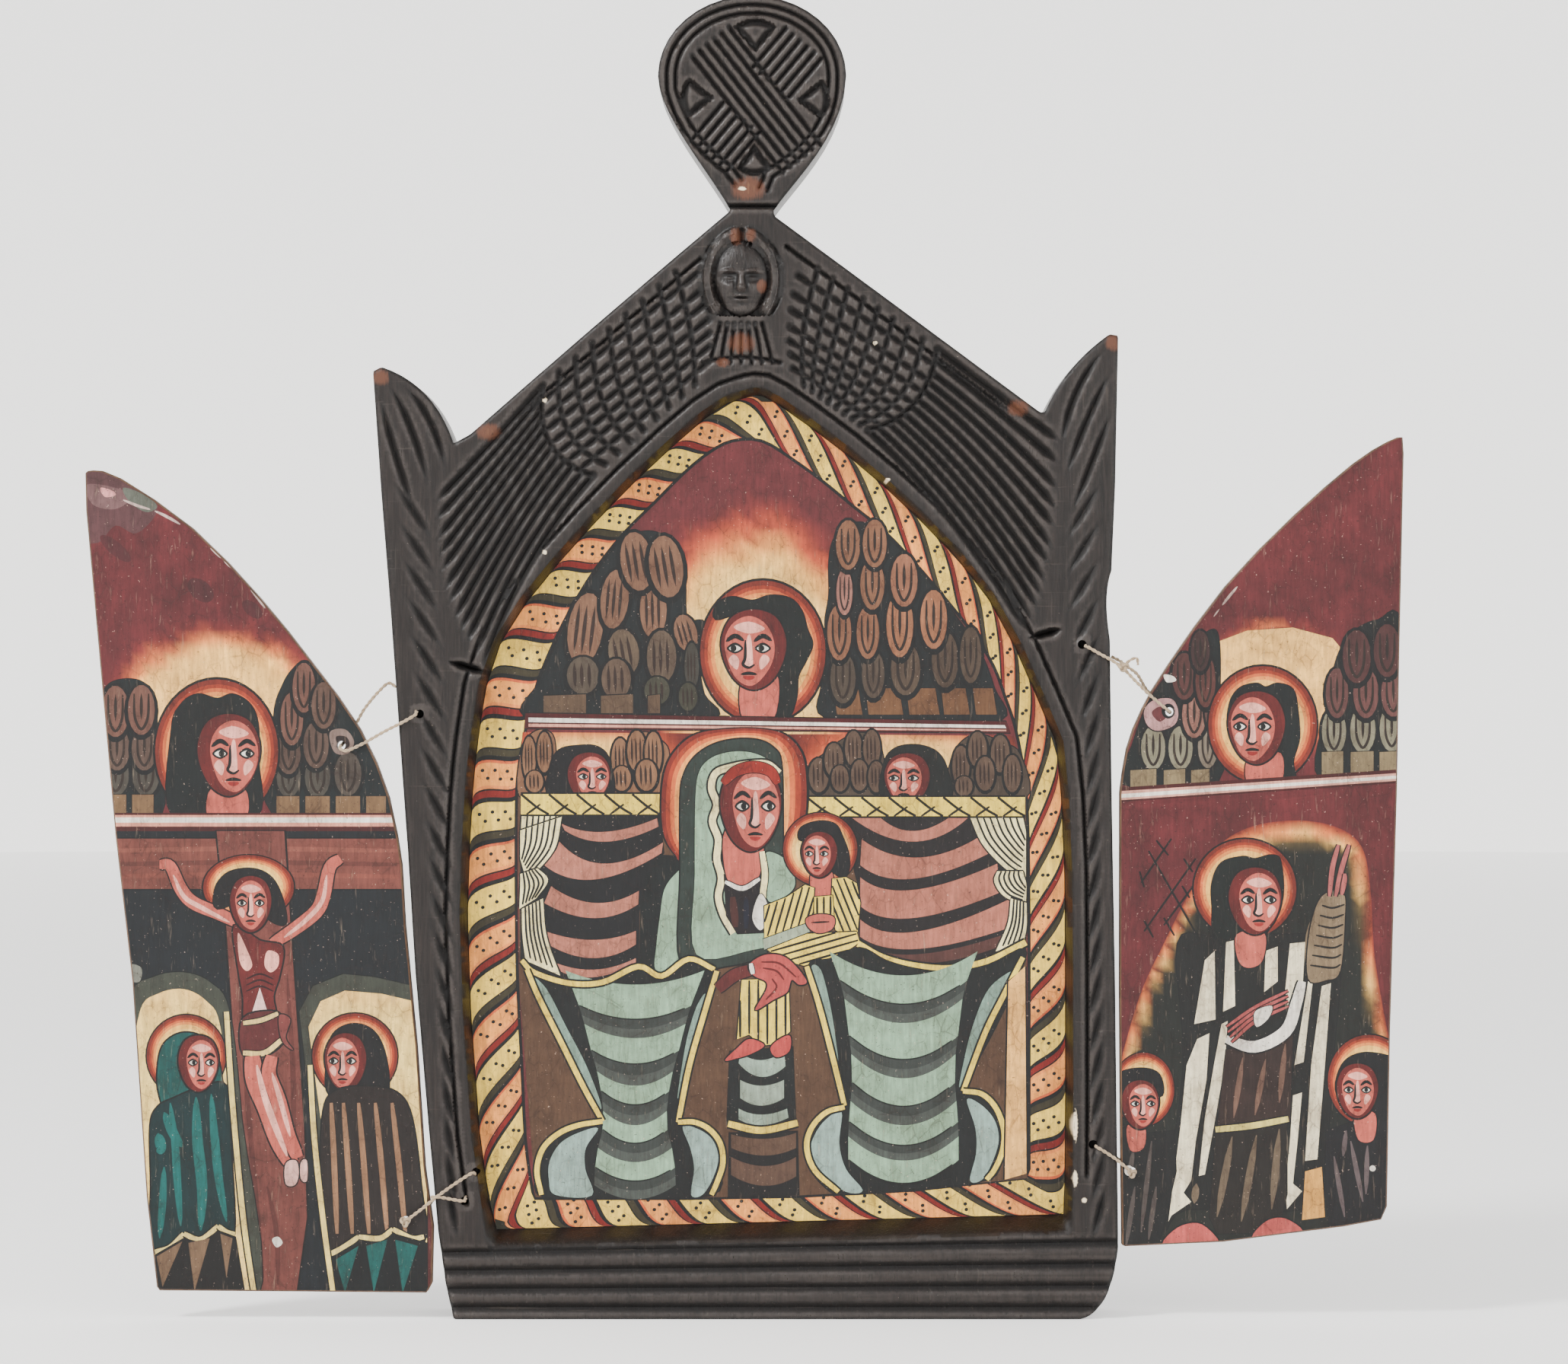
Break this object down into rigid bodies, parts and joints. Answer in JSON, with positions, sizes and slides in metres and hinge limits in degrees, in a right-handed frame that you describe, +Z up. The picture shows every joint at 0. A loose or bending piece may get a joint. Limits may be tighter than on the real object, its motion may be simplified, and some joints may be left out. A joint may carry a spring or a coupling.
{
  "type": "triptych altarpiece",
  "caption": "Carved dark-wood altarpiece: a horned, gabled board with a round finial and a sunken painted field, flanked by painted doors tied on with cord.",
  "frame": {"origin": "centre of the bounding box on the floor, under the open doors and the board", "axes": "+Z up, the painted and carved side faces -Y, +X to the viewer's right"},
  "size_m": [0.6076, 0.0503, 0.61],
  "materials": {
    "dark_wood": "carved, dark stained and rubbed, with worn brown edges; the sunken field is painted",
    "painted_wood": "distemper painting on gesso in front, plain dark wood behind",
    "twine": "twisted undyed cotton twine"
  },
  "bodies": {
    "board": {"frame": "dark_wood", "tie_left_upper": "twine", "tie_left_lower": "twine", "tie_right_upper": "twine", "tie_right_lower": "twine"},
    "left_leaf": {"left_door": "painted_wood"},
    "right_leaf": {"right_door": "painted_wood"}
  },
  "joints": [
    {"name": "left_door_hinge", "type": "hinge", "parent": "board", "child": "left_leaf", "pos_m": [-0.1264, -0.0208, 0.02975], "axis": [-0.0648, 0, 0.9979], "range_deg": [0, 180], "deforming": ["tie_left_upper", "tie_left_lower"]},
    {"name": "right_door_hinge", "type": "hinge", "parent": "board", "child": "right_leaf", "pos_m": [0.1575, -0.0208, 0.05], "axis": [0, 0, -1], "range_deg": [0, 180], "deforming": ["tie_right_upper", "tie_right_lower"]}
  ]
}
